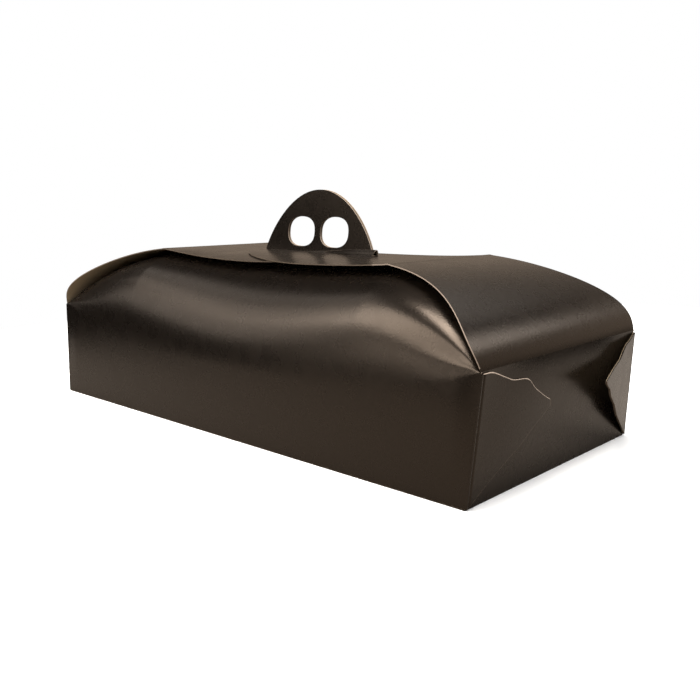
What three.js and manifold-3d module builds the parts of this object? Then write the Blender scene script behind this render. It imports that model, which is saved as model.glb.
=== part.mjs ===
// Cake carton with a two-ply carrying handle, folded from one sheet of laminated board.
// Millimetres, +Z up, +X towards the end whose flap closes last, origin in the middle of the underside.
import * as THREE from "three";
import { mergeVertices } from "three/addons/utils/BufferGeometryUtils.js";
import Module from "manifold-3d";

// Board
const BOARD = 0.6;
const LAYER_GAP = 0.4; // air between layers that only lie on each other
const BOARD_COLOUR = 0x2b2621;

// Tray
const LENGTH = 380;
const WIDTH = 179;
const WALL_HEIGHT = 70;
const END_FLARE = 4.6; // how far an end wall leans out at its top
const SIDE_LEAN = 4; // how far a long wall leans in at the same height

// Roof flaps, which grow out of the end walls
const ROOF_HEIGHT = 114.8; // top face, along the middle
const SHOULDER_RUN = 86.6; // from the end wall's top back to the roof crease
const CREASE_HALF_WIDTH = 52.5;
const WAIST_HALF_WIDTH = 49.4; // half way between the two creases
const ROOF_SAG = 4.2; // drop of the roof's long edges at the waist
const SHOULDER_RISE = { in: 5.8, up: 22.7 }; // direction in which a flap leaves its wall
const SHOULDER_EASE = { back: 45.4, down: 4.1 }; // direction in which it reaches the crease
const HIP_SWELL = { in: 10.4, out: 9.5 }; // the flap's edge swells past the wall just above it
const HIP_EASE = { back: 58.9, out: 7.1 };
const TONGUE_REACH = 57; // a flap's round end, past the middle of the box
const TONGUE_ROUND = 97; // length of that round end
const HINGE_GAP = 0.35;

// Long roof panels, which grow out of the long walls
const PANEL_BEND_START = 46; // half way along the box; at its ends the bend starts at the wall's top
const PANEL_BEND_POWER = 4;
const PANEL_RISE_MIDDLE = 0.75; // share of the height from the wall's top to the roof
const PANEL_RISE_ENDS = 0.8;
const PANEL_RISE_EASE = 0.94;
const PANEL_SAG = 6; // how far the panels stay below the roof between its creases
const PANEL_FLAT_MIDDLE = 45; // flat stretch beside the handle
const PANEL_FLAT_ENDS = 74; // the same towards the end walls
const PANEL_FLAT_REACH = 150; // distance from the middle at which it gets there
const PANEL_CUT_POWER = 1.15; // curve of the panel's cut edge, from the handle out to the corner

// Handle, two plies that stand up through the flaps' slots
const HANDLE_HALF_WIDTH = 52.8;
const HANDLE_HEIGHT = 43;
const HANDLE_ARCH_POWER = 1.3;
const HANDLE_LEAN_X = 3; // shift of the handle's top towards the right flap
const HANDLE_LEAN_Y = 2.4; // and towards the back
const PLY_GAP_BASE = 0.8;
const PLY_GAP_TOP = 3.2;
const HOLE_WIDTH = 26.6;
const HOLE_HEIGHT = 20.8;
const HOLE_RISE = 14.2; // from the roof's top face up to a finger hole's centre
const HOLE_SPACING = 32;
const HOLE_SQUARENESS = 2.5; // 2 is an ellipse, more is squarer

// Slots and the lip that the handle has pushed up
const SLOT_END_CLEARANCE = 1.7;
const SLOT_SIDE_CLEARANCE = 0.8;
const LIP_WIDTH = 7.2;
const LIP_LENGTH = 79;
const LIP_LIFT = 3.6;
const LIP_END = 6.2; // how far the lip's cut runs past the handle's end

// Web corners, two layers folded out against the end walls
const WEB_WAVE = [
  [0, 68.9],
  [9, 68.8],
  [22, 64.2],
  [29, 61.9],
  [42, 60.3],
  [50, 54.2],
  [61, 47.9],
  [67, 45.3],
];
const WEB_FOLD = [
  [68.2, 41.5],
  [54, 32.9],
  [42, 24.1],
  [17.5, 10.8],
  [0, 0.6],
];
const SPRUNG_WAVE = [
  [0, 68.6],
  [12.8, 65.6],
  [23.3, 64.1],
  [30.8, 60.9],
  [37.9, 57.4],
  [50.2, 55.0],
  [59, 52.8],
  [68.9, 50.2],
];
const SPRUNG_FOLD = [
  [66.5, 47.4],
  [58.2, 43.1],
  [53.4, 37.8],
  [41.2, 29.9],
  [32.6, 21.8],
  [0, 0.6],
];
const SPRUNG_ANGLE = 12.5; // degrees between the sprung web and its wall

// Worked out from the sizes above
const WALL_TOP_X = LENGTH / 2 + END_FLARE;
const WALL_TOP_Y = WIDTH / 2 - SIDE_LEAN;
const CREASE_X = WALL_TOP_X - SHOULDER_RUN;
const LAYER = BOARD + LAYER_GAP;
const PLY_BASE_Z = ROOF_HEIGHT - 2 * LAYER - LAYER_GAP / 2;
const PLY_TOP_Z = ROOF_HEIGHT + HANDLE_HEIGHT;
const SLOT_FRONT_Y = -(PLY_GAP_BASE / 2 + BOARD + SLOT_SIDE_CLEARANCE);
const SLOT_BACK_Y = HANDLE_LEAN_Y + PLY_GAP_TOP / 2 + BOARD + SLOT_SIDE_CLEARANCE;
const SLOT_END_X = HANDLE_HALF_WIDTH + SLOT_END_CLEARANCE;

const wasm = await Module();
wasm.setup();

function smooth(value) {
  const t = THREE.MathUtils.clamp(value, 0, 1);
  return t * t * (3 - 2 * t);
}

// Joining and cutting

function asSolid(geometry) {
  geometry.deleteAttribute("normal");
  geometry.deleteAttribute("uv");
  const merged = mergeVertices(geometry, 1e-4);
  const vertProperties = merged.attributes.position.array;
  const triVerts = new Uint32Array(merged.index.array);
  const solid = new wasm.Manifold(new wasm.Mesh({ numProp: 3, vertProperties, triVerts }));
  if (solid.volume() > 0) return solid;
  triVerts.reverse();
  return new wasm.Manifold(new wasm.Mesh({ numProp: 3, vertProperties, triVerts }));
}

function mapped(geometry, place) {
  const position = geometry.attributes.position;
  for (let i = 0; i < position.count; i++) {
    const p = place(position.getX(i), position.getY(i), position.getZ(i));
    position.setXYZ(i, p.x, p.y, p.z);
  }
  return asSolid(geometry);
}

function box(low, high) {
  const size = new THREE.Vector3().subVectors(high, low);
  const middle = new THREE.Vector3().addVectors(low, high).multiplyScalar(0.5);
  const geometry = new THREE.BoxGeometry(size.x, size.y, size.z);
  return asSolid(geometry.translate(middle.x, middle.y, middle.z));
}

function asMesh(solid, name, colour) {
  const data = solid.getMesh();
  const geometry = new THREE.BufferGeometry();
  geometry.setAttribute("position", new THREE.BufferAttribute(data.vertProperties, 3));
  geometry.setIndex(new THREE.BufferAttribute(data.triVerts, 1));
  geometry.computeVertexNormals();
  const material = new THREE.MeshStandardMaterial({ color: colour, roughness: 0.38, metalness: 0 });
  const mesh = new THREE.Mesh(geometry, material);
  mesh.name = name;
  return mesh;
}

// A sheet of board from a grid of points on its outer face: rows of equal length, in an order that
// makes the cross product of the row step and the column step point out of the box.
function sheet(rows) {
  const across = rows[0].length;
  const step = (row, column, dRow, dColumn) => {
    const r = THREE.MathUtils.clamp(row + dRow, 0, rows.length - 1);
    const c = THREE.MathUtils.clamp(column + dColumn, 0, across - 1);
    return rows[r][c];
  };
  const outer = [];
  const inner = [];
  rows.forEach((row, r) => {
    row.forEach((point, c) => {
      const along = new THREE.Vector3().subVectors(step(r, c, 1, 0), step(r, c, -1, 0));
      const over = new THREE.Vector3().subVectors(step(r, c, 0, 1), step(r, c, 0, -1));
      const normal = along.cross(over).normalize();
      outer.push(point);
      inner.push(point.clone().addScaledVector(normal, -BOARD));
    });
  });
  const count = outer.length;
  const index = [];
  const quad = (a, b, c, d) => index.push(a, b, c, a, c, d);
  for (let r = 0; r + 1 < rows.length; r++) {
    for (let c = 0; c + 1 < across; c++) {
      const a = r * across + c;
      const b = a + across;
      quad(a, b, b + 1, a + 1);
      quad(count + a, count + a + 1, count + b + 1, count + b);
    }
  }
  const rim = [];
  for (let r = 0; r < rows.length - 1; r++) rim.push(r * across);
  for (let c = 0; c < across - 1; c++) rim.push((rows.length - 1) * across + c);
  for (let r = rows.length - 1; r > 0; r--) rim.push(r * across + across - 1);
  for (let c = across - 1; c > 0; c--) rim.push(c);
  rim.forEach((a, i) => {
    const b = rim[(i + 1) % rim.length];
    quad(a, count + a, count + b, b);
  });
  const geometry = new THREE.BufferGeometry();
  const positions = [...outer, ...inner].flatMap((p) => [p.x, p.y, p.z]);
  geometry.setAttribute("position", new THREE.Float32BufferAttribute(positions, 3));
  geometry.setIndex(index);
  return asSolid(geometry);
}

function grid(rowCount, columnCount, point) {
  const rows = [];
  for (let r = 0; r <= rowCount; r++) {
    const row = [];
    for (let c = 0; c <= columnCount; c++) row.push(point(r / rowCount, c / columnCount));
    rows.push(row);
  }
  return rows;
}

function mirroredGrid(rows, signX, signY) {
  const turned = rows.map((row) => row.map((p) => new THREE.Vector3(p.x * signX, p.y * signY, p.z)));
  return signX * signY < 0 ? turned.map((row) => row.reverse()) : turned;
}

// Roof form

function roofCurve(rise, ease) {
  return new THREE.CubicBezierCurve(
    new THREE.Vector2(WALL_TOP_X, rise.level),
    new THREE.Vector2(WALL_TOP_X - rise.in, rise.level + rise.step),
    new THREE.Vector2(CREASE_X + ease.back, ease.level + ease.step),
    new THREE.Vector2(CREASE_X, ease.level),
  );
}

const shoulder = roofCurve(
  { level: WALL_HEIGHT, in: SHOULDER_RISE.in, step: SHOULDER_RISE.up },
  { level: ROOF_HEIGHT, back: SHOULDER_EASE.back, step: -SHOULDER_EASE.down },
);
const hip = roofCurve(
  { level: WALL_TOP_Y, in: HIP_SWELL.in, step: HIP_SWELL.out },
  { level: CREASE_HALF_WIDTH, back: HIP_EASE.back, step: HIP_EASE.out },
);

// The curves run from the wall to the crease with x falling all the way, so halving finds a place on one.
function levelAt(curve, x) {
  let low = 0;
  let high = 1;
  for (let i = 0; i < 40; i++) {
    const middle = (low + high) / 2;
    if (curve.getPoint(middle).x > x) low = middle;
    else high = middle;
  }
  return curve.getPoint(low).y;
}

function roofHeight(x, y) {
  const far = Math.abs(x);
  if (far >= CREASE_X) return levelAt(shoulder, far);
  const waist = 1 - (far / CREASE_X) ** 2;
  return ROOF_HEIGHT - ROOF_SAG * waist * (y / WAIST_HALF_WIDTH) ** 2;
}

function roofHalfWidth(x) {
  const far = Math.abs(x);
  if (far >= CREASE_X) return levelAt(hip, far);
  return WAIST_HALF_WIDTH + (CREASE_HALF_WIDTH - WAIST_HALF_WIDTH) * (far / CREASE_X) ** 2;
}

// A flap over the right end, from its wall to its round tongue. sink(x) lowers it under another flap.
function flapGrid(startX, sink) {
  const roundStart = TONGUE_ROUND - TONGUE_REACH;
  const stations = [];
  const shoulderSteps = 16;
  for (let i = 0; i < shoulderSteps; i++) {
    const x = shoulder.getPoint(i / shoulderSteps).x;
    stations.push(Math.min(x, startX));
  }
  const flatSteps = 8;
  for (let i = 0; i < flatSteps; i++) {
    stations.push(THREE.MathUtils.lerp(CREASE_X, roundStart, i / flatSteps));
  }
  const roundSteps = 14;
  const lastAngle = THREE.MathUtils.degToRad(88);
  const halfWidths = new Map();
  for (let i = 0; i <= roundSteps; i++) {
    const angle = (lastAngle * i) / roundSteps;
    const x = roundStart - TONGUE_ROUND * Math.sin(angle);
    stations.push(x);
    halfWidths.set(x, roofHalfWidth(x) * Math.cos(angle));
  }
  const columns = 10;
  return stations.map((x) => {
    const half = halfWidths.get(x) ?? roofHalfWidth(x);
    const row = [];
    for (let c = 0; c <= columns; c++) {
      const y = half * (1 - (2 * c) / columns);
      row.push(new THREE.Vector3(x, y, roofHeight(x, y) - sink(x)));
    }
    return row;
  });
}

function slot(startX, endX, frontY) {
  const low = new THREE.Vector3(startX, frontY, PLY_BASE_Z - LAYER);
  return box(low, new THREE.Vector3(endX, SLOT_BACK_Y, PLY_TOP_Z));
}

// Opening flap

function topFlap() {
  const rows = flapGrid(WALL_TOP_X, () => 0);
  rows[0].forEach((p) => (p.z += HINGE_GAP));
  const lipEnd = HANDLE_HALF_WIDTH + LIP_END;
  const lipStart = lipEnd - LIP_LENGTH;
  const lipRootY = SLOT_FRONT_Y - LIP_WIDTH;
  const lipRows = grid(14, 6, (u, v) => {
    const x = THREE.MathUtils.lerp(lipEnd, lipStart, u);
    const y = THREE.MathUtils.lerp(SLOT_FRONT_Y, lipRootY, v);
    const lift = LIP_LIFT * smooth(1 - u) * (1 - v) ** 1.6;
    return new THREE.Vector3(x, y - (v === 1 ? BOARD : 0), roofHeight(x, y) + lift);
  });
  const lipCut = slot(lipStart + LIP_LENGTH / 8, lipEnd + BOARD, lipRootY);
  return sheet(rows)
    .subtract(slot(-SLOT_END_X, SLOT_END_X, SLOT_FRONT_Y))
    .subtract(lipCut)
    .add(sheet(lipRows));
}

// Tray, long panels, handle and the flap underneath

function wallX(z) {
  return LENGTH / 2 + (END_FLARE * Math.min(z, WALL_HEIGHT)) / WALL_HEIGHT;
}

function wallY(z) {
  return WIDTH / 2 - (SIDE_LEAN * z) / WALL_HEIGHT;
}

function endWall(signX) {
  const rows = grid(4, 6, (u, v) => {
    const z = WALL_HEIGHT * u;
    return new THREE.Vector3(wallX(z), wallY(z) * (2 * v - 1), z);
  });
  return sheet(mirroredGrid(rows, signX, 1).map((row) => row.reverse()));
}

function panelCutY(x) {
  const reach = WALL_TOP_X - HANDLE_HALF_WIDTH;
  const past = Math.max(0, Math.abs(x) - HANDLE_HALF_WIDTH) / reach;
  const handleY = (PLY_GAP_BASE + BOARD) / 2;
  return handleY + (WALL_TOP_Y - handleY) * past ** PANEL_CUT_POWER;
}

// Section of the back long panel above its wall, at one x: y falls from the wall to the middle.
function panelSection(x) {
  const top = roofHeight(x, 0) - 2 * LAYER - LAYER_GAP / 2;
  const spread = smooth(Math.abs(x) / PANEL_FLAT_REACH);
  const riseShare = THREE.MathUtils.lerp(PANEL_RISE_MIDDLE, PANEL_RISE_ENDS, spread);
  const rise = riseShare * Math.max(top - WALL_HEIGHT, 0);
  const flat = THREE.MathUtils.lerp(PANEL_FLAT_MIDDLE, PANEL_FLAT_ENDS, spread);
  const ends = (x / WALL_TOP_X) ** PANEL_BEND_POWER;
  const start = THREE.MathUtils.lerp(PANEL_BEND_START, WALL_HEIGHT, ends);
  const sag = PANEL_SAG * Math.max(0, 1 - (x / CREASE_X) ** 2);
  return new THREE.CubicBezierCurve(
    new THREE.Vector2(wallY(start), start),
    new THREE.Vector2(wallY(WALL_HEIGHT + rise), WALL_HEIGHT + PANEL_RISE_EASE * rise),
    new THREE.Vector2(flat, top - sag),
    new THREE.Vector2(0, top),
  );
}

function panelGrid() {
  const wallRows = 3;
  const roofRows = 12;
  const halfColumns = 16;
  const rows = [];
  for (let r = 0; r <= wallRows + roofRows; r++) rows.push([]);
  for (let c = -halfColumns; c <= halfColumns; c++) {
    const share = Math.sin(((c / halfColumns) * Math.PI) / 2);
    const section = panelSection(share * WALL_TOP_X);
    const cutY = panelCutY(share * WALL_TOP_X);
    for (let r = 0; r < wallRows; r++) {
      const z = (section.v0.y * r) / wallRows;
      rows[r].push(new THREE.Vector3(share * wallX(z), wallY(z), z));
    }
    let last = 0;
    while (last < 1 && section.getPoint(last).x > cutY) last += 0.002;
    for (let r = 0; r <= roofRows; r++) {
      const p = section.getPoint((Math.min(last, 1) * r) / roofRows);
      rows[wallRows + r].push(new THREE.Vector3(share * wallX(p.y), Math.max(p.x, cutY), p.y));
    }
  }
  return rows;
}

function plyShape() {
  const height = PLY_TOP_Z - PLY_BASE_Z;
  const shape = new THREE.Shape();
  const steps = 28;
  for (let i = 0; i <= steps; i++) {
    const turn = Math.PI * (i / steps - 0.5);
    const x = HANDLE_HALF_WIDTH * Math.sin(turn);
    const rise = height * Math.max(0, Math.cos(turn)) ** (2 / HANDLE_ARCH_POWER);
    if (i === 0) shape.moveTo(x, rise);
    else shape.lineTo(x, rise);
  }
  shape.closePath();
  const holeHeight = ROOF_HEIGHT + HOLE_RISE - PLY_BASE_Z;
  for (const side of [-1, 1]) {
    const hole = new THREE.Path();
    const holeSteps = 24;
    for (let i = 0; i < holeSteps; i++) {
      const turn = (2 * Math.PI * i) / holeSteps;
      const power = 2 / HOLE_SQUARENESS;
      const across = Math.sign(Math.cos(turn)) * Math.abs(Math.cos(turn)) ** power;
      const up = Math.sign(Math.sin(turn)) * Math.abs(Math.sin(turn)) ** power;
      const x = (side * HOLE_SPACING) / 2 + (HOLE_WIDTH / 2) * across;
      const h = holeHeight + (HOLE_HEIGHT / 2) * up;
      if (i === 0) hole.moveTo(x, h);
      else hole.lineTo(x, h);
    }
    hole.closePath();
    shape.holes.push(hole);
  }
  return shape;
}

function ply(side) {
  const height = PLY_TOP_Z - PLY_BASE_Z;
  const geometry = new THREE.ExtrudeGeometry(plyShape(), { depth: BOARD, bevelEnabled: false });
  return mapped(geometry, (x, h, d) => {
    const up = h / height;
    const gap = THREE.MathUtils.lerp(PLY_GAP_BASE, PLY_GAP_TOP, up) / 2;
    const y = HANDLE_LEAN_Y * up + side * (gap + d);
    return new THREE.Vector3(x + HANDLE_LEAN_X * up, y, PLY_BASE_Z - BOARD + h);
  });
}

function underFlap() {
  const sink = (x) => LAYER * smooth((CREASE_X - x) / (CREASE_X - TONGUE_REACH - BOARD));
  const rows = mirroredGrid(flapGrid(WALL_TOP_X, sink), -1, 1);
  rows[0].forEach((p) => (p.z -= BOARD));
  return sheet(rows).subtract(slot(-SLOT_END_X, SLOT_END_X, SLOT_FRONT_Y));
}

// A web corner: outline in (distance from the corner edge, height), on the wall or swung off it.
function web(wave, fold, degrees, signX, signY) {
  const swing = THREE.MathUtils.degToRad(degrees);
  const edge = new THREE.SplineCurve(wave.map(([r, h]) => new THREE.Vector2(r, h)));
  const outline = [...edge.getPoints(20), ...fold.map(([r, h]) => new THREE.Vector2(r, h))];
  const geometry = new THREE.ExtrudeGeometry(new THREE.Shape(outline), {
    depth: 2 * BOARD + BOARD / 2,
    bevelEnabled: false,
  });
  return mapped(geometry, (r, h, d) => {
    const out = d - BOARD / 2;
    const x = wallX(h) + r * Math.sin(swing) + out * Math.cos(swing);
    const y = wallY(h) - r * Math.cos(swing) + out * Math.sin(swing);
    return new THREE.Vector3(signX * x, signY * y, h);
  });
}

function carton() {
  const halfLength = LENGTH / 2;
  const halfWidth = WIDTH / 2;
  const base = box(
    new THREE.Vector3(-halfLength, -halfWidth, 0),
    new THREE.Vector3(halfLength, halfWidth, BOARD),
  );
  const panels = panelGrid();
  const pieces = [
    endWall(1),
    endWall(-1),
    sheet(mirroredGrid(panels, 1, 1)),
    sheet(mirroredGrid(panels, 1, -1)),
    ply(1),
    ply(-1),
    underFlap(),
    web(WEB_WAVE, WEB_FOLD, 0, 1, -1),
    web(SPRUNG_WAVE, SPRUNG_FOLD, SPRUNG_ANGLE, 1, 1),
    web(WEB_WAVE, WEB_FOLD, 0, -1, -1),
    web(WEB_WAVE, WEB_FOLD, 0, -1, 1),
  ];
  return pieces.reduce((whole, piece) => whole.add(piece), base);
}

const cakeBox = new THREE.Group();
cakeBox.add(asMesh(carton(), "carton", BOARD_COLOUR));
cakeBox.add(asMesh(topFlap(), "top_flap", BOARD_COLOUR));

export default cakeBox;
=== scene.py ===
"""Looks of a folded cake carton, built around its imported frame.

The carton is one sheet of dark laminated board with a cream inside. Its long panels curve up into a
two-ply handle, its end flaps arch over them, and its web corners fold out against the end walls.
"""

import logging
import math
from dataclasses import dataclass, field
from enum import IntEnum
from functools import lru_cache
from typing import Callable

import bpy
from mathutils import Matrix, Vector, noise


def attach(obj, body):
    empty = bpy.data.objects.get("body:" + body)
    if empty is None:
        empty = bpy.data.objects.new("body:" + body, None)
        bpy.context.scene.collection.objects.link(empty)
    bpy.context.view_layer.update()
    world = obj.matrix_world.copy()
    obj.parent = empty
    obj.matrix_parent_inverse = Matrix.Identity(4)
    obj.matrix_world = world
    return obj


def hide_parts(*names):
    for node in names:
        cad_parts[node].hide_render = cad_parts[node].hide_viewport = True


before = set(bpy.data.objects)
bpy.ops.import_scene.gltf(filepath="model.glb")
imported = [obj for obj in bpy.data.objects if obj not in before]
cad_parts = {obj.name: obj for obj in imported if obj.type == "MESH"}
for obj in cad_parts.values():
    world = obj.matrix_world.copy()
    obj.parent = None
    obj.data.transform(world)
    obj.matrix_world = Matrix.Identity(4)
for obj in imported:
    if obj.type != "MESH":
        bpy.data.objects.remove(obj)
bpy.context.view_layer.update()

MM = 0.001
TINY = 1e-6
SMOOTH_ANGLE = math.radians(35)
LOG = logging.getLogger("cake_box")
Place = Callable[[float, float], Vector]
Colour = tuple[float, float, float, float]
Outline = tuple[tuple[float, float], ...]


class Side(IntEnum):
    """Material slot of each side of a sheet of board."""

    OUTSIDE = 0
    INSIDE = 1
    CUT_EDGE = 2
    # Painted light: a brown line that stands for the highlight on sharp folds and the shade on the flaps'
    # near cut edges.
    WORN_FOLD = 3


def smooth(value: float) -> float:
    """Eases a value between 0 and 1, and holds it there outside."""
    t = min(max(value, 0.0), 1.0)
    return t * t * (3 - 2 * t)


def mix(a: float, b: float, t: float) -> float:
    """Goes from a to b as t goes from 0 to 1."""
    return a + (b - a) * t


@dataclass(frozen=True)
class Bezier:
    """A plane cubic curve with four control points."""

    a: tuple[float, float]
    b: tuple[float, float]
    c: tuple[float, float]
    d: tuple[float, float]

    def at(self, t: float) -> tuple[float, float]:
        """Finds a point of the curve.

        Args:
            t: parameter from 0 to 1.

        Returns:
            The point's two coordinates.
        """
        s = 1 - t
        weights = (s * s * s, 3 * s * s * t, 3 * s * t * t, t * t * t)
        points = (self.a, self.b, self.c, self.d)
        first = sum(w * p[0] for w, p in zip(weights, points))
        second = sum(w * p[1] for w, p in zip(weights, points))
        return first, second

    def parameter(self, first: float) -> float:
        """Finds where the falling first coordinate reaches a value.

        Args:
            first: the value to reach.

        Returns:
            The parameter from 0 to 1.
        """
        low, high = 0.0, 1.0
        for _ in range(32):
            middle = (low + high) / 2
            if self.at(middle)[0] > first:
                low = middle
            else:
                high = middle
        return low


@dataclass(frozen=True)
class Form:
    """Driving sizes of the folded carton, in metres, and the curves that they give."""

    board: float = 0.6 * MM
    layer_gap: float = 0.4 * MM
    length: float = 380 * MM
    width: float = 179 * MM
    wall: float = 70 * MM
    end_flare: float = 4.6 * MM
    side_lean: float = 4 * MM
    roof: float = 114.8 * MM
    shoulder_run: float = 86.6 * MM
    crease_half: float = 52.5 * MM
    waist_half: float = 49.4 * MM
    roof_sag: float = 4.2 * MM
    tongue_reach: float = 57 * MM
    tongue_round: float = 97 * MM
    slot_front: float = 1.8 * MM
    slot_back: float = 5.4 * MM
    slot_end: float = 54.5 * MM
    lip_width: float = 7.2 * MM
    lip_length: float = 79 * MM
    lip_lift: float = 3.6 * MM
    lip_end: float = 59 * MM
    handle_half: float = 52.8 * MM
    handle_height: float = 43 * MM
    bow_right: float = 2.3 * MM
    bow_left: float = 0.9 * MM
    bow_spread: float = 1.15
    bow_power: float = 1.6
    shoulder_in: float = 5.0 * MM
    shoulder_up: float = 22.7 * MM
    shoulder_back: float = 45.4 * MM
    shoulder_down: float = 4.1 * MM
    hip_in: float = 10.4 * MM
    hip_out: float = 9.5 * MM
    hip_back: float = 58.9 * MM
    hip_spare: float = 7.1 * MM

    def wall_x(self, z: float) -> float:
        """Distance of an end wall from the middle, at a height."""
        return self.length / 2 + self.end_flare * min(z / self.wall, 1)

    def wall_y(self, z: float) -> float:
        """Distance of a long wall from the middle, at a height."""
        return self.width / 2 - self.side_lean * z / self.wall

    def swell(self, z: float) -> float:
        """Finds a wall's share of its bulge: none at the base and the crease, and all of it between.

        Args:
            z: height above the base.

        Returns:
            The share, which peaks at 1 two thirds of the way up.
        """
        rise = z / self.wall
        return 27 / 4 * rise * rise * (1 - rise)

    def end_bow(self, end: int, y: float, z: float) -> float:
        """Finds how far an end wall bulges at a place on it.

        Args:
            end: 1 for the right end, -1 for the left.
            y: place across the box.
            z: height above the base.

        Returns:
            The distance outwards from the flat wall.
        """
        across = smooth(self.bow_spread * (1 - (abs(y) / self.wall_y(z)) ** self.bow_power))
        return (self.bow_right if end > 0 else self.bow_left) * across * self.swell(z)

    @property
    def top_x(self) -> float:
        """Where an end wall meets its flap."""
        return self.length / 2 + self.end_flare

    @property
    def top_y(self) -> float:
        """Half width of the tray at its top."""
        return self.width / 2 - self.side_lean

    @property
    def crease_x(self) -> float:
        """Where a flap's shoulder ends and its flat roof starts."""
        return self.top_x - self.shoulder_run

    @property
    def layer(self) -> float:
        """One board and the air below it."""
        return self.board + self.layer_gap

    @property
    def ply_base(self) -> float:
        """Height at which the handle's plies leave the long panels."""
        return self.roof - 2 * self.layer - self.layer_gap / 2

    @property
    def shoulder(self) -> Bezier:
        """Side view of a flap, from its wall back to the crease."""
        start = (self.top_x, self.wall)
        leave = (self.top_x - self.shoulder_in, self.wall + self.shoulder_up)
        arrive = (self.crease_x + self.shoulder_back, self.roof - self.shoulder_down)
        return Bezier(start, leave, arrive, (self.crease_x, self.roof))

    @property
    def hip(self) -> Bezier:
        """Half width of a flap, from its wall back to the crease."""
        start = (self.top_x, self.top_y)
        leave = (self.top_x - self.hip_in, self.top_y + self.hip_out)
        arrive = (self.crease_x + self.hip_back, self.crease_half + self.hip_spare)
        return Bezier(start, leave, arrive, (self.crease_x, self.crease_half))

    def roof_height(self, x: float, y: float) -> float:
        """Finds the height of the roof's outer face.

        Args:
            x: place along the box.
            y: place across it.

        Returns:
            The height above the base.
        """
        far = abs(x)
        if far >= self.crease_x:
            return shoulder_height(self, round(far, 7))
        waist = 1 - (far / self.crease_x) ** 2
        return self.roof - self.roof_sag * waist * (y / self.waist_half) ** 2

    def roof_half(self, x: float) -> float:
        """Finds the half width of the roof.

        Args:
            x: place along the box.

        Returns:
            The distance from the middle to the flap's edge.
        """
        far = abs(x)
        if far >= self.crease_x:
            return hip_half(self, round(far, 7))
        return mix(self.waist_half, self.crease_half, (far / self.crease_x) ** 2)


@lru_cache(maxsize=None)
def shoulder_height(form: Form, far: float) -> float:
    """Height of the shoulder at a distance from the middle of the box."""
    return form.shoulder.at(form.shoulder.parameter(far))[1]


@lru_cache(maxsize=None)
def hip_half(form: Form, far: float) -> float:
    """Half width of the shoulder at a distance from the middle of the box."""
    return form.hip.at(form.hip.parameter(far))[1]


@dataclass(frozen=True)
class NodeSpec:
    """One shader node: its type, its settings and the values on its inputs."""

    kind: str
    settings: dict[str, str] = field(default_factory=dict)
    inputs: dict[str | int, object] = field(default_factory=dict)


def linear(colour: str) -> Colour:
    """Turns an sRGB hex colour to linear values.

    Args:
        colour: six hex digits, with or without a leading mark.

    Returns:
        Red, green, blue and an alpha of 1.
    """
    digits = colour.lstrip("#")
    values = [int(digits[i:i + 2], 16) / 255 for i in (0, 2, 4)]
    turned = [v / 12.92 if v <= 0.04045 else ((v + 0.055) / 1.055) ** 2.4 for v in values]
    return (*turned, 1.0)


def add_node(
    tree: bpy.types.NodeTree, spec: NodeSpec, links: dict[str | int, bpy.types.NodeSocket] | None = None
) -> bpy.types.Node:
    """Adds a node with its settings, values and incoming links.

    Args:
        tree: the node tree to add it to.
        spec: what the node is and how it is set.
        links: input name or number to the output socket that feeds it.

    Returns:
        The new node.
    """
    node = tree.nodes.new(spec.kind)
    for name, value in spec.settings.items():
        setattr(node, name, value)
    for name, value in spec.inputs.items():
        node.inputs[name].default_value = value
    for name, socket in (links or {}).items():
        tree.links.new(socket, node.inputs[name])
    return node


def blend(
    tree: bpy.types.NodeTree,
    share: bpy.types.NodeSocket,
    low: Colour | bpy.types.NodeSocket,
    high: Colour | bpy.types.NodeSocket,
) -> bpy.types.NodeSocket:
    """Mixes two colours.

    Args:
        tree: the node tree to add the mix to.
        share: goes from the first colour at 0 to the second at 1.
        low: first colour, fixed or from a node.
        high: second colour, fixed or from a node.

    Returns:
        The mixed colour.
    """
    # The node keeps its colour sockets last: 6 and 7 take the two colours, and output 2 gives the mix.
    node = add_node(tree, NodeSpec("ShaderNodeMix", {"data_type": "RGBA"}), {0: share})
    for number, colour in ((6, low), (7, high)):
        if isinstance(colour, bpy.types.NodeSocket):
            tree.links.new(colour, node.inputs[number])
        else:
            node.inputs[number].default_value = colour
    return node.outputs[2]


def ramp(
    tree: bpy.types.NodeTree, value: bpy.types.NodeSocket, span: tuple[float, float]
) -> bpy.types.NodeSocket:
    """Eases a value from 0 to 1.

    Args:
        tree: the node tree to add the step to.
        value: what is measured.
        span: the values that give 0 and 1.

    Returns:
        The eased share.
    """
    spec = NodeSpec(
        "ShaderNodeMapRange",
        {"interpolation_type": "SMOOTHSTEP"},
        {"From Min": span[0], "From Max": span[1]},
    )
    return add_node(tree, spec, {"Value": value}).outputs["Result"]


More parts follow.
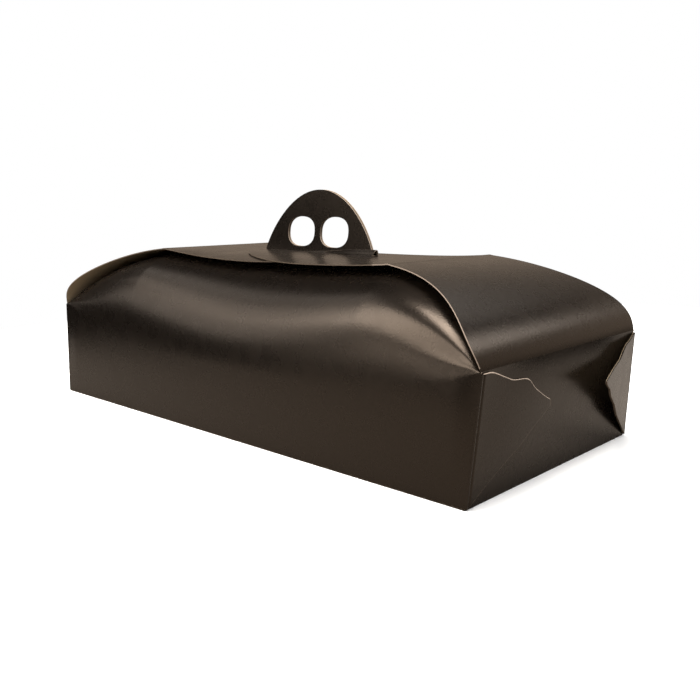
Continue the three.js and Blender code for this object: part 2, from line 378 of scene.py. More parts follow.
@dataclass(frozen=True)
class LaminatedBoard:
    """Carton board with a dark brown satin film: near black, with soft warm reflections."""

    name: str = "satin_laminated_board"
    base: str = "#080605"
    mottle: str = "#0d0a08"
    tint: Colour = (1.0, 0.80, 0.63, 1.0)
    roughness: float = 0.27
    smoother: float = 0.035
    rougher: float = 0.045
    patch: float = 12 * MM
    grain: float = 1.3 * MM  # coarser than the real film's grain, so that it shows in the picture
    grain_depth: float = 0.1 * MM
    grain_strength: float = 0.6
    ior: float = 1.46

    def make(self) -> bpy.types.Material:
        """Builds the material.

        Returns:
            The finished material.
        """
        material, tree, shader = new_material(self.name)
        where = add_node(tree, NodeSpec("ShaderNodeTexCoord")).outputs["Object"]
        grain = add_node(
            tree,
            NodeSpec("ShaderNodeTexNoise", {}, {"Scale": 1 / self.grain, "Detail": 3.0, "Roughness": 0.6}),
            {"Vector": where},
        )
        patch = add_node(
            tree,
            NodeSpec("ShaderNodeTexNoise", {}, {"Scale": 1 / self.patch, "Detail": 2.0, "Roughness": 0.5}),
            {"Vector": where},
        )
        colour = blend(tree, grain.outputs["Fac"], linear(self.base), linear(self.mottle))
        limits = {"To Min": self.roughness - self.smoother, "To Max": self.roughness + self.rougher}
        rough = add_node(
            tree, NodeSpec("ShaderNodeMapRange", inputs=limits), {"Value": patch.outputs["Fac"]}
        )
        relief = {"Strength": self.grain_strength, "Distance": self.grain_depth}
        fine = add_node(
            tree, NodeSpec("ShaderNodeBump", inputs=relief), {"Height": grain.outputs["Fac"]}
        )
        tree.links.new(colour, shader.inputs["Base Color"])
        tree.links.new(rough.outputs["Result"], shader.inputs["Roughness"])
        tree.links.new(fine.outputs["Normal"], shader.inputs["Normal"])
        shader.inputs["IOR"].default_value = self.ior
        shader.inputs["Specular Tint"].default_value = self.tint
        return material


@dataclass(frozen=True)
class UncoatedBoard:
    """The sheet's back: matt cream pulp board with short fibres, a warm pale inside to the open box."""

    name: str = "uncoated_cream_board"
    base: str = "#a1917a"
    fibre: str = "#897961"
    roughness: float = 0.86
    shine: float = 0.3
    grain: float = 0.9 * MM
    grain_depth: float = 0.08 * MM
    grain_strength: float = 0.3
    fibre_stretch: float = 0.35

    def make(self) -> bpy.types.Material:
        """Builds the material.

        Returns:
            The finished material.
        """
        material, tree, shader = new_material(self.name)
        where = add_node(tree, NodeSpec("ShaderNodeTexCoord")).outputs["Object"]
        stretched = add_node(
            tree,
            NodeSpec("ShaderNodeMapping", inputs={"Scale": (self.fibre_stretch, 1.0, 1.0)}),
            {"Vector": where},
        )
        fibres = add_node(
            tree,
            NodeSpec("ShaderNodeTexNoise", {}, {"Scale": 1 / self.grain, "Detail": 5.0, "Roughness": 0.65}),
            {"Vector": stretched.outputs["Vector"]},
        )
        colour = blend(tree, fibres.outputs["Fac"], linear(self.base), linear(self.fibre))
        relief = {"Strength": self.grain_strength, "Distance": self.grain_depth}
        bump = add_node(
            tree, NodeSpec("ShaderNodeBump", inputs=relief), {"Height": fibres.outputs["Fac"]}
        )
        tree.links.new(colour, shader.inputs["Base Color"])
        tree.links.new(bump.outputs["Normal"], shader.inputs["Normal"])
        shader.inputs["Roughness"].default_value = self.roughness
        shader.inputs["Specular IOR Level"].default_value = self.shine
        return material


@dataclass(frozen=True)
class CutEdge(UncoatedBoard):
    """The die-cut edge of the sheet: bare pulp that draws a fine pale line round each dark flap."""

    name: str = "die_cut_board_edge"
    base: str = "#b3a396"
    fibre: str = "#918274"
    grain: float = 0.5 * MM


@dataclass(frozen=True)
class PaintedLightLine(UncoatedBoard):
    """A fine brown line of painted light: a painted highlight along the sharp folds of the web corners, and
    painted shade over the near cut edges of the roof flaps.
    """

    name: str = "painted_fold_highlight_and_edge_shade"
    base: str = "#75685a"
    fibre: str = "#5a4f44"
    roughness: float = 0.6
    grain: float = 0.7 * MM


def new_material(name: str) -> tuple[bpy.types.Material, bpy.types.NodeTree, bpy.types.Node]:
    """Makes a material that holds only a Principled shader and its output.

    Args:
        name: the material's name.

    Returns:
        The material, its node tree and its shader.
    """
    material = bpy.data.materials.new(name)
    material.use_nodes = True
    tree = material.node_tree
    tree.nodes.clear()
    shader = add_node(tree, NodeSpec("ShaderNodeBsdfPrincipled"))
    output = add_node(tree, NodeSpec("ShaderNodeOutputMaterial"))
    tree.links.new(shader.outputs["BSDF"], output.inputs["Surface"])
    return material, tree, shader


class Workshop:
    """Makes sheets of board with the carton's three finishes and a line of painted light."""

    def __init__(self, form: Form) -> None:
        """Keeps the form and makes each finish once."""
        self.form = form
        kinds = (LaminatedBoard(), UncoatedBoard(), CutEdge(), PaintedLightLine())
        self.finishes = [kind.make() for kind in kinds]

    def dress(self, piece: bpy.types.Object) -> None:
        """Gives a piece the finishes, one slot for each side of the board and one for the line of painted
        light: painted highlight on folds, painted shade on near cut edges.
        """
        piece.data.materials.clear()
        for finish in self.finishes:
            piece.data.materials.append(finish)

    def sheet(self, name: str, across: int, along: int, place: Place) -> bpy.types.Object:
        """Adds a grid and moves its points onto the outer face of a sheet.

        Args:
            name: the piece's name.
            across: number of faces in the first direction.
            along: number of faces in the second direction.
            place: gives the point of the outer face for two shares from 0 to 1. The first direction
                turned towards the second points out of the box.

        Returns:
            The sheet's outer face, without thickness.
        """
        bpy.ops.object.select_all(action="DESELECT")
        bpy.ops.mesh.primitive_grid_add(x_subdivisions=across, y_subdivisions=along, size=1.0)
        piece = bpy.context.active_object
        piece.name = name
        piece.data.name = name
        for vertex in piece.data.vertices:
            vertex.co = place(vertex.co.x + 0.5, vertex.co.y + 0.5)
        self.dress(piece)
        return piece

    def cut_faces(self, piece: bpy.types.Object, inside: Callable[[Vector], bool]) -> None:
        """Deletes the faces whose middle lies in a region, as the die does.

        Args:
            piece: the sheet to cut.
            inside: tells whether a point lies in the region.
        """
        bpy.ops.object.select_all(action="DESELECT")
        bpy.context.view_layer.objects.active = piece
        piece.select_set(True)
        bpy.ops.object.mode_set(mode="EDIT")
        bpy.ops.mesh.select_mode(type="FACE")
        bpy.ops.mesh.select_all(action="DESELECT")
        bpy.ops.object.mode_set(mode="OBJECT")
        for face in piece.data.polygons:
            face.select = inside(face.center)
        bpy.ops.object.mode_set(mode="EDIT")
        bpy.ops.mesh.delete(type="FACE")
        bpy.ops.object.mode_set(mode="OBJECT")

    def thicken(self, piece: bpy.types.Object, layers: float = 1.0) -> None:
        """Gives a sheet its thickness inwards, with a cream back and cream cut edges.

        Args:
            piece: the outer face of the sheet.
            layers: how many boards thick it gets.
        """
        bpy.ops.object.select_all(action="DESELECT")
        bpy.context.view_layer.objects.active = piece
        piece.select_set(True)
        solid = piece.modifiers.new("board", "SOLIDIFY")
        solid.thickness = self.form.board * layers
        solid.offset = -1.0
        solid.material_offset = Side.INSIDE
        solid.material_offset_rim = Side.CUT_EDGE
        bpy.ops.object.modifier_apply(modifier=solid.name)
        bpy.ops.object.shade_smooth_by_angle(angle=SMOOTH_ANGLE)

    def paint_rim(
        self, piece: bpy.types.Object, chosen: Callable[[Vector], bool], finish: Side = Side.OUTSIDE
    ) -> None:
        """Changes the finish of the cut edge in places, such as where the sheet is folded on.

        Args:
            piece: a sheet with its thickness.
            chosen: tells whether a point of the edge changes.
            finish: the side of the board that it then shows.
        """
        for face in piece.data.polygons:
            if face.material_index == Side.CUT_EDGE and chosen(face.center):
                face.material_index = finish


@dataclass
class Tray:
    """Base, end walls and the long panels that run on into the roof."""

    shop: Workshop
    panel_columns: int = 240
    panel_rows: int = 110
    rise_middle: float = 0.75
    rise_ends: float = 0.80
    rise_ease: float = 0.94
    sag: float = 6 * MM
    flat_middle: float = 45 * MM
    flat_ends: float = 74 * MM
    flat_reach: float = 150 * MM
    cut_power: float = 1.15
    ply_gap: float = 0.8 * MM  # air between the handle's two plies at their foot
    bend_start: float = 46 * MM
    bend_power: int = 4
    wall_share: float = 0.32
    wall_columns: int = 80
    wall_rows: int = 60
    base_columns: int = 40
    base_rows: int = 20
    corner_swell: float = 1.5 * MM
    swell_power: int = 5
    swell_top: float = 1.4
    swell_fade: float = 0.4
    fan_count: float = 15.0
    fan_phase: float = 0.6
    fan_turn: float = 0.55
    fan_spread: float = 0.45
    fan_reach: float = 110 * MM
    fan_depth: float = 0.35 * MM
    fan_edge: float = 16 * MM
    wave_length: float = 62 * MM
    wave_depth: float = 0.16 * MM
    wave_squeeze: float = 1.6
    wave_from: float = 20 * MM
    wave_rise: float = 50 * MM
    wave_edge: float = 30 * MM
    calm_rim: float = 0.2
    lift_rise: float = 30 * MM
    folded_share: float = 0.9

    def section(self, x: float) -> Bezier:
        """Finds a long panel's section above its wall.

        Args:
            x: place along the box.

        Returns:
            The curve of half width against height.
        """
        form = self.shop.form
        top = form.roof_height(x, 0) - 2 * form.layer - form.layer_gap / 2
        spread = smooth(abs(x) / self.flat_reach)
        rise = mix(self.rise_middle, self.rise_ends, spread) * max(top - form.wall, 0)
        flat = mix(self.flat_middle, self.flat_ends, spread)
        start = mix(self.bend_start, form.wall, (x / form.top_x) ** self.bend_power)
        sag = self.sag * max(0, 1 - (x / form.crease_x) ** 2)
        knee = form.wall + rise
        return Bezier(
            (form.wall_y(start), start),
            (form.wall_y(knee), form.wall + self.rise_ease * rise),
            (flat, top - sag),
            (0, top),
        )

    def uneven(self, x: float, y: float, z: float) -> float:
        """Finds how far a bent panel stands off its even form: swollen corners, fans and slow waves.

        Args:
            x: place along the box.
            y: place across it.
            z: height above the base.

        Returns:
            The distance outwards.
        """
        form = self.shop.form
        away_x = form.top_x - abs(x)
        away_z = z - form.wall
        if away_x <= 0:
            return 0.0
        turn = math.atan2(away_z, away_x)
        near = smooth((self.fan_reach - math.hypot(away_x, away_z)) / self.fan_reach)
        spread = math.exp(-((turn - self.fan_turn) / self.fan_spread) ** 2)
        fan = self.fan_depth * math.sin(turn * self.fan_count + self.fan_phase) * spread * near
        slow = noise.noise(Vector((x, y, self.wave_squeeze * z)) / self.wave_length)
        slow *= smooth((z - self.wave_from) / self.wave_rise)
        corner = self.corner_swell * (abs(x) / form.top_x) ** self.swell_power * form.swell(z)
        corner *= smooth((self.swell_top * form.wall - z) / (self.swell_fade * form.wall))
        waves = self.wave_depth * slow * smooth(away_x / self.wave_edge)
        return (fan + corner) * smooth(away_x / self.fan_edge) + waves

    def cut_half(self, x: float) -> float:
        """Finds where a long panel's cut edge runs.

        Args:
            x: place along the box.

        Returns:
            The half width there.
        """
        form = self.shop.form
        past = max(0, abs(x) - form.handle_half) / (form.top_x - form.handle_half)
        inner = (self.ply_gap + form.board) / 2
        return inner + (form.top_y - inner) * past ** self.cut_power

    def panel(self, side: int) -> bpy.types.Object:
        """One long panel, from the base up the wall and in over the roof.

        Args:
            side: -1 for the front, 1 for the back.

        Returns:
            The panel with its thickness.
        """
        form = self.shop.form

        @lru_cache(maxsize=None)
        def column(share: float) -> tuple[float, Bezier, float]:
            """Turn, section and last parameter of one column of the sheet."""
            turned = math.sin((share - 0.5) * math.pi)
            x = turned * form.top_x
            section = self.section(x)
            return turned, section, section.parameter(self.cut_half(x))

        def place(u: float, v: float) -> Vector:
            """Point of the panel for a share along the box and a share up it."""
            turned, section, last = column(round(u, 6))
            if v < self.wall_share:
                z = section.a[1] * v / self.wall_share
                half = form.wall_y(z)
            else:
                half, z = section.at(last * (v - self.wall_share) / (1 - self.wall_share))
            x = -side * turned * form.wall_x(z)
            off = self.uneven(x, side * half, z) * smooth((1 - v) / self.calm_rim)
            lift = max(off, 0) * smooth((z - form.wall) / self.lift_rise)
            return Vector((x, side * (half + off), z + lift))

        name = "front_panel" if side < 0 else "back_panel"
        piece = self.shop.sheet(name, self.panel_columns, self.panel_rows, place)
        self.shop.thicken(piece)
        self.shop.paint_rim(piece, lambda p: p.z < form.wall * self.folded_share)
        return piece

    def end_wall(self, side: int) -> bpy.types.Object:
        """One end wall, a little bowed outwards under its top.

        Args:
            side: 1 for the right end, -1 for the left.

        Returns:
            The wall with its thickness.
        """
        form = self.shop.form

        def place(u: float, v: float) -> Vector:
            """Point of the wall for a share across the box and a share up it."""
            z = form.wall * v
            y = form.wall_y(z) * (2 * u - 1)
            return Vector((side * (form.wall_x(z) + form.end_bow(side, y, z)), side * y, z))

        name = "left_end_wall" if side < 0 else "right_end_wall"
        piece = self.shop.sheet(name, self.wall_columns, self.wall_rows, place)
        self.shop.thicken(piece)
        self.shop.paint_rim(piece, lambda p: True)
        return piece

    def base(self) -> bpy.types.Object:
        """The flat base, its dark face down."""
        form = self.shop.form

        def place(u: float, v: float) -> Vector:
            """Point of the base for a share along the box and a share across it."""
            return Vector((form.length * (u - 0.5), form.width * (0.5 - v), 0))

        piece = self.shop.sheet("base", self.base_columns, self.base_rows, place)
        self.shop.thicken(piece)
        self.shop.paint_rim(piece, lambda p: True)
        return piece

    def make(self) -> list[bpy.types.Object]:
        """Builds the tray's pieces."""
        return [self.base(), self.panel(-1), self.panel(1), self.end_wall(1), self.end_wall(-1)]


@dataclass
class RoofFlap:
    """An end flap: shoulder, flat roof, round tongue and the slot over the handle."""

    shop: Workshop
    name: str
    side: int
    rows: int = 210
    columns: int = 96
    has_lip: bool = False
    sinks: bool = False
    seam: float = 0.05 * MM  # keeps the flap's first row off the end wall's top
    lip_curl: float = 2.3
    lip_power: float = 1.3
    lip_cut: float = 1.2
    slot_lines: tuple[float, float, float] = (0.38, 0.46, 0.56)
    slot_room: float = 26 * MM
    tongue_turn: float = 89.0  # just under a right angle, so that the tongue's last row keeps a width
    crease_band: float = 1.5 * MM
    # Painted shade on the near cut edge: up to this place along the box, and from this distance off the
    # middle.
    painted_shade_to: float = 96 * MM
    painted_shade_side: float = 6 * MM
    ridge: float = 0.22 * MM
    ridge_width: float = 1.6 * MM
    wall_end: float = 0.42
    roof_end: float = 0.66

    def station(self, u: float) -> tuple[float, float]:
        """Finds where a cross line of the flap lies.

        Args:
            u: share along the flap, from its wall to the end of its tongue.

        Returns:
            The distance from the middle of the box, and the half width there.
        """
        form = self.shop.form
        round_start = form.tongue_round - form.tongue_reach
        if u < self.wall_end:
            x = form.shoulder.at(u / self.wall_end)[0]
            return x, form.roof_half(x)
        if u < self.roof_end:
            x = mix(form.crease_x, round_start, (u - self.wall_end) / (self.roof_end - self.wall_end))
            return x, form.roof_half(x)
        angle = math.radians(self.tongue_turn) * (u - self.roof_end) / (1 - self.roof_end)
        x = round_start - form.tongue_round * math.sin(angle)
        return x, form.roof_half(x) * math.cos(angle)

    def line(self, v: float, half: float) -> float:
        """Places a share across the flap, with fixed lines along the slot and the lip.

        Args:
            v: share across the flap.
            half: half width of the flap there.

        Returns:
            The place across the box.
        """
        form = self.shop.form
        scale = min(1.0, half / self.slot_room)
        back = form.slot_back * scale
        front = -form.slot_front * scale
        root = front - form.lip_width * scale
        stops = tuple(zip((0.0, *self.slot_lines, 1.0), (half, back, front, root, -half)))
        for (v0, y0), (v1, y1) in zip(stops, stops[1:]):
            if v <= v1:
                return mix(y0, y1, (v - v0) / (v1 - v0))
        return -half

    def lip(self, x: float, y: float) -> float:
        """Finds how far the lip beside the slot stands up.

        Args:
            x: place along the box.
            y: place across it.

        Returns:
            The height above the roof, 0 away from the lip.
        """
        form = self.shop.form
        if not self.has_lip or x > form.lip_end or y > -form.slot_front + TINY:
            return 0.0
        reach = smooth((x - form.lip_end + form.lip_length) / form.lip_length)
        over = min(max((y + form.slot_front + form.lip_width) / form.lip_width, 0), 1)
        return form.lip_lift * reach * math.sin(self.lip_curl * over) ** self.lip_power

    def sink(self, x: float) -> float:
        """Finds how far the flap underneath dips below the roof.

        Args:
            x: distance from the middle of the box.

        Returns:
            The distance down, 0 for a flap that lies on top.
        """
        form = self.shop.form
        if not self.sinks:
            return 0.0
        return form.layer * smooth((form.crease_x - x) / (form.crease_x - form.tongue_reach - form.board))

    def make(self) -> bpy.types.Object:
        """Builds the flap.

        Returns:
            The flap with its thickness, its slot and its lip.
        """
        form = self.shop.form

        def place(u: float, v: float) -> Vector:
            """Point of the flap for a share along it and a share across it."""
            x, half = self.station(u)
            y = self.line(v, half)
            ridge = self.ridge * math.exp(-((x - form.crease_x) / self.ridge_width) ** 2)
            z = form.roof_height(x, y) + ridge + self.lip(x, y) - self.sink(x)
            if u == 0:
                z += self.seam
            return Vector((self.side * x, self.side * y, z))

        def slot(p: Vector) -> bool:
            """Tells whether a point lies in the slot."""
            across = -form.slot_front < self.side * p.y < form.slot_back
            return abs(p.x) < form.slot_end and across

        def lip_end(p: Vector) -> bool:
            """Tells whether a point lies in the short cut that frees the lip's end."""
            past = form.lip_end < p.x < form.lip_end + self.lip_cut * form.board
            across = -form.slot_front - form.lip_width < p.y < form.slot_back
            return past and across and self.has_lip

        piece = self.shop.sheet(self.name, self.rows, self.columns, place)
        self.shop.cut_faces(piece, lambda p: slot(p) or lip_end(p))
        self.shop.thicken(piece)
        self.shop.paint_rim(piece, lambda p: p.z < form.wall + self.crease_band)
        # The near cut edge takes the darker brown line of painted shade instead of the pale cut edge.
        self.shop.paint_rim(piece, self.painted_shade_rim, Side.WORN_FOLD)
        return piece

    def painted_shade_rim(self, p: Vector) -> bool:
        """Tells where the near cut edge is painted darker, as painted shade."""
        return p.y < -self.painted_shade_side and p.x < self.painted_shade_to


@dataclass
class Handle:
    """Two plies that stand back to back, each with two finger holes."""

    shop: Workshop
    arch_power: float = 1.3
    lean_x: float = 3 * MM
    lean_y: float = 1.6 * MM
    gap_base: float = 0.8 * MM
    gap_top: float = 1.6 * MM
    hole_width: float = 26.6 * MM
    hole_height: float = 20.8 * MM
    hole_rise: float = 14.2 * MM
    hole_spacing: float = 32 * MM
    hole_squareness: float = 2.5
    arch_steps: int = 120
    hole_steps: int = 72
    edge_on: float = 0.5

    def outline(self) -> list[tuple[float, float]]:
        """Draws the arch.

        Returns:
            Points from one foot over the top to the other.
        """
        form = self.shop.form
        height = form.roof + form.handle_height - form.ply_base
        points = []
        for i in range(self.arch_steps + 1):
            turn = math.pi * (i / self.arch_steps - 0.5)
            rise = height * max(0.0, math.cos(turn)) ** (2 / self.arch_power)
            points.append((form.handle_half * math.sin(turn), rise))
        return points

    def hole(self, side: int) -> list[tuple[float, float]]:
        """Draws one finger hole, a squared oval.

        Args:
            side: -1 for the left hole, 1 for the right.

        Returns:
            Points round the hole.
        """
        form = self.shop.form
        middle = form.roof + self.hole_rise - form.ply_base
        power = 2 / self.hole_squareness
        points = []
        for i in range(self.hole_steps):
            turn = -2 * math.pi * i / self.hole_steps
            across = math.copysign(abs(math.cos(turn)) ** power, math.cos(turn))
            up = math.copysign(abs(math.sin(turn)) ** power, math.sin(turn))
            x = side * self.hole_spacing / 2 + self.hole_width / 2 * across
            points.append((x, middle + self.hole_height / 2 * up))
        return points

    def ply(self, side: int) -> bpy.types.Object:
        """One ply, cut out flat and then stood up on its panel's edge.

        Args:
            side: -1 for the front ply, 1 for the back.

        Returns:
            The ply.
        """
        form = self.shop.form
        name = "front_ply" if side < 0 else "back_ply"
        curve = bpy.data.curves.new(name, "CURVE")
        curve.dimensions = "2D"
        curve.fill_mode = "BOTH"
        curve.extrude = form.board / 2
        for points in (self.outline(), self.hole(-1), self.hole(1)):
            spline = curve.splines.new("POLY")
            spline.points.add(len(points) - 1)
            for point, (x, y) in zip(spline.points, points):
                point.co = (x, y, 0, 1)
            spline.use_cyclic_u = True
        piece = bpy.data.objects.new(name, curve)
        bpy.context.scene.collection.objects.link(piece)
        bpy.ops.object.select_all(action="DESELECT")
        piece.select_set(True)
        bpy.context.view_layer.objects.active = piece
        bpy.ops.object.convert(target="MESH")
        piece = bpy.context.active_object
        bpy.ops.object.mode_set(mode="EDIT")
        bpy.ops.mesh.select_all(action="SELECT")
        bpy.ops.mesh.remove_doubles(threshold=form.board / 100)
        bpy.ops.mesh.normals_make_consistent(inside=False)
        bpy.ops.object.mode_set(mode="OBJECT")
        self.shop.dress(piece)
        for face in piece.data.polygons:
            if abs(face.normal.z) < self.edge_on:
                face.material_index = Side.CUT_EDGE
            elif face.normal.z > 0:
                face.material_index = Side.OUTSIDE if side > 0 else Side.INSIDE
            else:
                face.material_index = Side.INSIDE if side > 0 else Side.OUTSIDE
        height = form.roof + form.handle_height - form.ply_base
        for vertex in piece.data.vertices:
            x, rise, depth = vertex.co
            up = rise / height
            gap = mix(self.gap_base, self.gap_top, up) / 2 + form.board / 2
            y = self.lean_y * up + side * gap + depth
            vertex.co = (x + self.lean_x * up, y, form.ply_base - form.board + rise)
        bpy.ops.object.mode_set(mode="EDIT")
        bpy.ops.mesh.select_all(action="SELECT")
        bpy.ops.mesh.normals_make_consistent(inside=False)
        bpy.ops.object.mode_set(mode="OBJECT")
        bpy.ops.object.shade_smooth_by_angle(angle=SMOOTH_ANGLE)
        return piece

    def make(self) -> list[bpy.types.Object]:
        """Builds both plies."""
        return [self.ply(-1), self.ply(1)]


@dataclass
class WebCorner:
    """Two layers folded out of a corner and laid against the end wall, or sprung off it."""

    shop: Workshop
    name: str
    end: int
    side: int
    swing: float = 0.0
    wave: Outline = (
        (0, 68.9), (9, 68.8), (22, 64.2), (29, 61.9), (42, 60.3), (50, 54.2), (61, 47.9), (67, 45.3),
    )
    fold: Outline = ((68.2, 41.5), (54, 32.9), (42, 24.1), (17.5, 10.8), (0, 0.6))
    columns: int = 48
    rows: int = 150
    wave_steps: int = 12
    layers: float = 1.98  # just under two, so that the back face stays off the end wall
    score_place: float = 1.5 * MM
    score_width: float = 0.5 * MM
    score_depth: float = 0.6 * MM
    bevel: float = 0.65
    bevel_width: float = 0.8 * MM
    soft_fold: float = 0.95
    # Width of the fold's last column, which carries the painted highlight.
    fold_highlight_width: float = 0.55 * MM
    dense_scores: int = 4
    dense_share: float = 0.25
    corner_band: float = 0.5 * MM
    corner_layers: int = 3

    def make(self) -> bpy.types.Object:
        """Builds the corner from rows that run from the corner edge out to its outline.

        Returns:
            The corner with both its layers.
        """
        form = self.shop.form
        outline = catmull(self.wave, self.wave_steps) + [Vector(point) for point in self.fold]
        swing = math.radians(self.swing)
        mirrored = self.end * self.side < 0
        lowest_cut = self.wave[-1][1] * MM

        def place(u: float, v: float) -> Vector:
            """Point of the corner for a share out from its edge and a share down it."""
            foot = Vector((0, mix(self.wave[0][1], self.fold[-1][1], v))) * MM
            rim = along(outline, v) * MM
            length = max((rim - foot).length, TINY)
            width = self.bevel_width if rim.y > lowest_cut else self.fold_highlight_width
            r, h = foot.lerp(rim, self.reach(u, length, width) / length)
            y = form.wall_y(h) - r * math.cos(swing)
            bow = 0 if self.swing else form.end_bow(self.end, y, h)
            groove = self.score_depth * math.exp(-((r - self.score_place) / self.score_width) ** 2)
            rim_share = self.bevel if rim.y > lowest_cut else self.soft_fold
            lift = bow + 2 * form.board * (rim_share if u > 1 - TINY else 1) - groove
            x = form.wall_x(h) + r * math.sin(swing) + lift * math.cos(swing)
            return Vector((self.end * x, self.side * (y + lift * math.sin(swing)), h))

        def turned(u: float, v: float) -> Vector:
            """The same point, with the rows in the order that turns the sheet's face outwards."""
            return place(u, 1 - v if mirrored else v)

        piece = self.shop.sheet(self.name, self.columns, self.rows, turned)
        # The last column shows the pale cut edge along the wave, and a painted highlight along the fold
        # below it.
        for face in piece.data.polygons:
            if face.index % self.columns == self.columns - 1:
                face.material_index = Side.CUT_EDGE if face.center.z > lowest_cut else Side.WORN_FOLD
        self.shop.thicken(piece, self.layers)
        for vertex in piece.data.vertices:
            edge = form.wall_y(vertex.co.z)
            vertex.co.y = min(max(vertex.co.y, -edge), edge)
        # Folded rims take the dark film colour. A sprung corner's whole rim, its cut edge too, is painted
        # dark as painted shade.
        self.shop.paint_rim(piece, lambda p: self.swing > 0 or p.z < lowest_cut or self.near_corner(p))
        return piece

    def reach(self, u: float, length: float, width: float) -> float:
        """Spaces the columns, with close ones at the score line and a narrow one last.

        Args:
            u: share out from the corner edge.
            length: length of the row.
            width: width of its last column.

        Returns:
            The distance from the corner edge.
        """
        dense = min(self.dense_scores * self.score_place, length / 2)
        last = length - min(width, length / 4)
        edge = 1 - 1 / self.columns
        if u < self.dense_share:
            return dense * u / self.dense_share
        if u <= edge + TINY:
            return mix(dense, last, (u - self.dense_share) / (edge - self.dense_share))
        return length

    def near_corner(self, p: Vector) -> bool:
        """Tells whether a point lies on the corner's folded edge."""
        form = self.shop.form
        at_edge = abs(p.y) > form.wall_y(p.z) - self.corner_band
        return at_edge and abs(p.x) < form.wall_x(p.z) + self.corner_layers * form.board


@dataclass
class SprungCorner(WebCorner):
    """The corner that has come off its end wall: its layers show a finer cut edge and a torn fold, and its
    whole rim is painted in the dark film colour as painted shade.
    """

    swing: float = 12.5
    wave: Outline = (
        (0, 68.6), (12.8, 65.6), (23.3, 64.1), (30.8, 60.9),
        (37.9, 57.4), (50.2, 55.0), (59, 52.8), (68.9, 50.2),
    )
    fold: Outline = ((66.5, 47.4), (58.2, 43.1), (53.4, 37.8), (41.2, 29.9), (32.6, 21.8), (0, 0.6))
    bevel: float = 0.5
    bevel_width: float = 0.35 * MM


def catmull(points: Outline, steps: int) -> list[Vector]:
    """Passes a smooth curve through points.

    Args:
        points: places on the curve.
        steps: pieces between two of them.

    Returns:
        Points along the curve, the last given point included.
    """
    places = [Vector(points[0]), *map(Vector, points), Vector(points[-1])]
    curve = []
    for a, b, c, d in zip(places, places[1:], places[2:], places[3:]):
        square = 2 * a - 5 * b + 4 * c - d
        cube = 3 * b - a - 3 * c + d
        for i in range(steps):
            t = i / steps
            curve.append(0.5 * (2 * b + (c - a) * t + square * t * t + cube * t ** 3))
    return curve + [places[-1]]


def length_of(line: list[Vector]) -> float:
    """Length of a line of points."""
    return sum((b - a).length for a, b in zip(line, line[1:]))


def along(line: list[Vector], share: float) -> Vector:
    """Finds the point at a share of a line's length.

    Args:
        line: points of the line.
        share: share of its length, from 0 to 1.

    Returns:
        The point.
    """
    left = share * length_of(line)
    for a, b in zip(line, line[1:]):
        step = (b - a).length
        if left <= step and step > 0:
            return a.lerp(b, left / step)
        left -= step
    return line[-1]


@dataclass(frozen=True)
class SoftLight:
    """A rectangular soft light, placed by its direction from a point near the box."""

    name: str
    azimuth: float
    elevation: float
    distance: float
    size: tuple[float, float]
    radiance: float
    colour: tuple[float, float, float] = (1.0, 0.93, 0.86)
    aim: tuple[float, float, float] = (0.0, 0.0, 0.07)


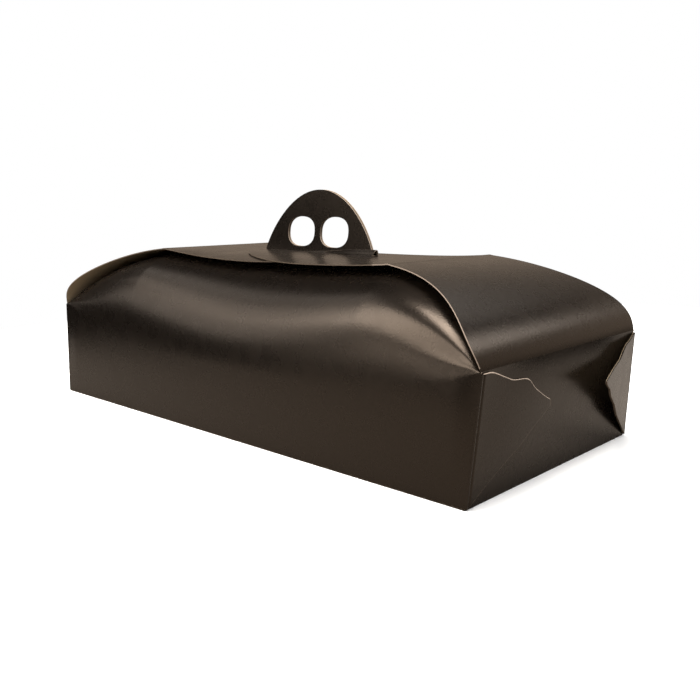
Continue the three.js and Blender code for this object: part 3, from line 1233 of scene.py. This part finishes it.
@dataclass
class Studio:
    """Pale floor, soft lights and a camera at the photographed view."""

    azimuth: float = 42.52
    elevation: float = 10.56
    distance: float = 591.96 * MM
    aim_right: float = 23.18 * MM
    aim_up: float = 43.74 * MM
    lens: float = 41.93
    sensor: float = 36.0
    nearest: float = 0.01
    room_dark: Colour = (0.010, 0.008, 0.006, 1.0)
    room_bright: Colour = (0.55, 0.43, 0.33, 1.0)
    room_even: Colour = (1.5, 1.5, 1.5, 1.0)
    floor_seen: Colour = (0.97, 0.98, 0.99, 1.0)
    floor_reflected: Colour = (0.29, 0.26, 0.23, 1.0)
    to_the_eye: Colour = (1.0, 1.0, 1.0, 1.0)
    wall_foot: tuple[float, float] = (0.0, 0.12)
    wall_head: tuple[float, float] = (0.52, 0.26)
    wall_behind: tuple[float, float] = (-0.1, 0.45)
    ceiling: tuple[float, float] = (0.25, 0.65)
    table: float = 640 * MM
    table_sides: int = 96
    table_place: tuple[float, float, float] = (100 * MM, 120 * MM, 0.0)
    lights: tuple[SoftLight, ...] = (
        SoftLight("main", -136, 37, 0.75, (0.38, 0.38), 8.0, aim=(0.12, -0.09, 0.09)),
        SoftLight("main_foot", -127, 7, 0.75, (0.18, 0.20), 3.6, aim=(0.12, -0.09, 0.09)),
        SoftLight("front_left", -142, 18, 1.6, (0.40, 0.48), 2.4),
        SoftLight("left", -153, 34, 1.0, (0.30, 0.20), 1.7, aim=(-0.05, -0.08, 0.09)),
        SoftLight("left_high", -164, 46, 1.2, (0.5, 0.42), 1.1),
        SoftLight("overhead", -140, 85, 0.8, (0.40, 0.40), 19.0, aim=(0.16, -0.07, 0.09)),
        SoftLight("right_back", 54, 33, 1.6, (0.6, 0.44), 4.2),
        SoftLight("back", 98, 41, 1.6, (0.9, 0.4), 0.9),
    )

    def camera(self) -> None:
        """Adds the camera."""
        turn, tilt = math.radians(self.azimuth), math.radians(self.elevation)
        back = Vector((math.sin(turn) * math.cos(tilt), -math.cos(turn) * math.cos(tilt), math.sin(tilt)))
        right = Vector((math.cos(turn), math.sin(turn), 0))
        up = back.cross(right)
        data = bpy.data.cameras.new("camera")
        data.lens = self.lens
        data.sensor_width = self.sensor
        data.clip_start = self.nearest
        camera = bpy.data.objects.new("camera", data)
        bpy.context.scene.collection.objects.link(camera)
        place = back * self.distance + right * self.aim_right + up * self.aim_up
        axes = Matrix((right, up, back)).transposed().to_4x4()
        camera.matrix_world = Matrix.Translation(place) @ axes
        bpy.context.scene.camera = camera

    def floor(self) -> None:
        """Adds a plain pale floor."""
        bpy.ops.object.select_all(action="DESELECT")
        bpy.ops.mesh.primitive_circle_add(
            vertices=self.table_sides, radius=self.table, fill_type="NGON", location=self.table_place
        )
        floor = bpy.context.active_object
        floor.name = "floor"
        material, tree, shader = new_material("pale_studio_floor")
        path = add_node(tree, NodeSpec("ShaderNodeLightPath"))
        pale = blend(tree, path.outputs["Is Camera Ray"], self.floor_reflected, self.floor_seen)
        tree.links.new(pale, shader.inputs["Base Color"])
        shader.inputs["Roughness"].default_value = 1.0
        shader.inputs["Specular IOR Level"].default_value = 0.0
        floor.data.materials.append(material)

    def light(self, spec: SoftLight) -> None:
        """Adds one soft light, turned to the object.

        Args:
            spec: its name, place, size, strength and colour.
        """
        data = bpy.data.lights.new(spec.name, "AREA")
        data.shape = "RECTANGLE"
        data.size, data.size_y = spec.size
        data.energy = spec.radiance * math.pi * spec.size[0] * spec.size[1]
        data.color = spec.colour
        lamp = bpy.data.objects.new(spec.name, data)
        bpy.context.scene.collection.objects.link(lamp)
        turn, tilt = math.radians(spec.azimuth), math.radians(spec.elevation)
        towards = Vector((math.cos(turn) * math.cos(tilt), math.sin(turn) * math.cos(tilt), math.sin(tilt)))
        aim = Vector(spec.aim)
        lamp.location = aim + towards * spec.distance
        lamp.rotation_euler = towards.to_track_quat("Z", "Y").to_euler()
        lamp.visible_camera = False

    def world(self) -> None:
        """Lights the scene all round: white to the eye, even for the floor, a dim room in reflections."""
        world = bpy.data.worlds.new("studio")
        bpy.context.scene.world = world
        world.use_nodes = True
        tree = world.node_tree
        tree.nodes.clear()
        path = add_node(tree, NodeSpec("ShaderNodeLightPath"))
        where = add_node(tree, NodeSpec("ShaderNodeTexCoord"))
        axes = add_node(tree, NodeSpec("ShaderNodeSeparateXYZ"), {"Vector": where.outputs["Generated"]})
        rise = ramp(tree, axes.outputs["Z"], self.wall_foot)
        fall = ramp(tree, axes.outputs["Z"], self.wall_head)
        behind = ramp(tree, axes.outputs["Y"], self.wall_behind)
        above = ramp(tree, axes.outputs["Z"], self.ceiling)
        times = NodeSpec("ShaderNodeMath", {"operation": "MULTIPLY"})
        band = add_node(tree, times, {0: rise, 1: fall}).outputs["Value"]
        wall = add_node(tree, times, {0: band, 1: behind}).outputs["Value"]
        room = blend(tree, wall, self.room_dark, self.room_bright)
        overhead = blend(tree, above, self.room_dark, self.room_even)
        soft = blend(tree, path.outputs["Is Diffuse Ray"], room, overhead)
        seen = blend(tree, path.outputs["Is Camera Ray"], soft, self.to_the_eye)
        background = add_node(tree, NodeSpec("ShaderNodeBackground"), {"Color": seen})
        output = add_node(tree, NodeSpec("ShaderNodeOutputWorld"))
        tree.links.new(background.outputs["Background"], output.inputs["Surface"])

    def make(self) -> None:
        """Sets up the studio."""
        self.camera()
        self.floor()
        self.world()
        for spec in self.lights:
            self.light(spec)
        bpy.context.scene.view_settings.view_transform = "Standard"


def hand_over(piece: bpy.types.Object, body: str, node: str) -> None:
    """Ties a piece to its body and hides the node that it stands for.

    Args:
        piece: the finished piece.
        body: the body that carries it.
        node: the node of the frame that it replaces.
    """
    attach(piece, body)
    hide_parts(node)
    LOG.info("%s: %d faces on %s", piece.name, len(piece.data.polygons), body)


def main() -> None:
    """Builds the carton and its studio."""
    logging.basicConfig(level=logging.INFO, format="%(name)s %(message)s")
    form = Form()
    shop = Workshop(form)
    Studio().make()
    for piece in Tray(shop).make() + Handle(shop).make():
        hand_over(piece, "carton", "carton")
    for corner in (
        WebCorner(shop, "web_near_right", 1, -1),
        SprungCorner(shop, "web_far_right", 1, 1),
        WebCorner(shop, "web_near_left", -1, -1),
        WebCorner(shop, "web_far_left", -1, 1),
    ):
        hand_over(corner.make(), "carton", "carton")
    hand_over(RoofFlap(shop, "under_flap", -1, sinks=True).make(), "carton", "carton")
    hand_over(RoofFlap(shop, "opening_flap", 1, has_lip=True).make(), "top_flap", "top_flap")


if __name__ == "__main__":
    main()
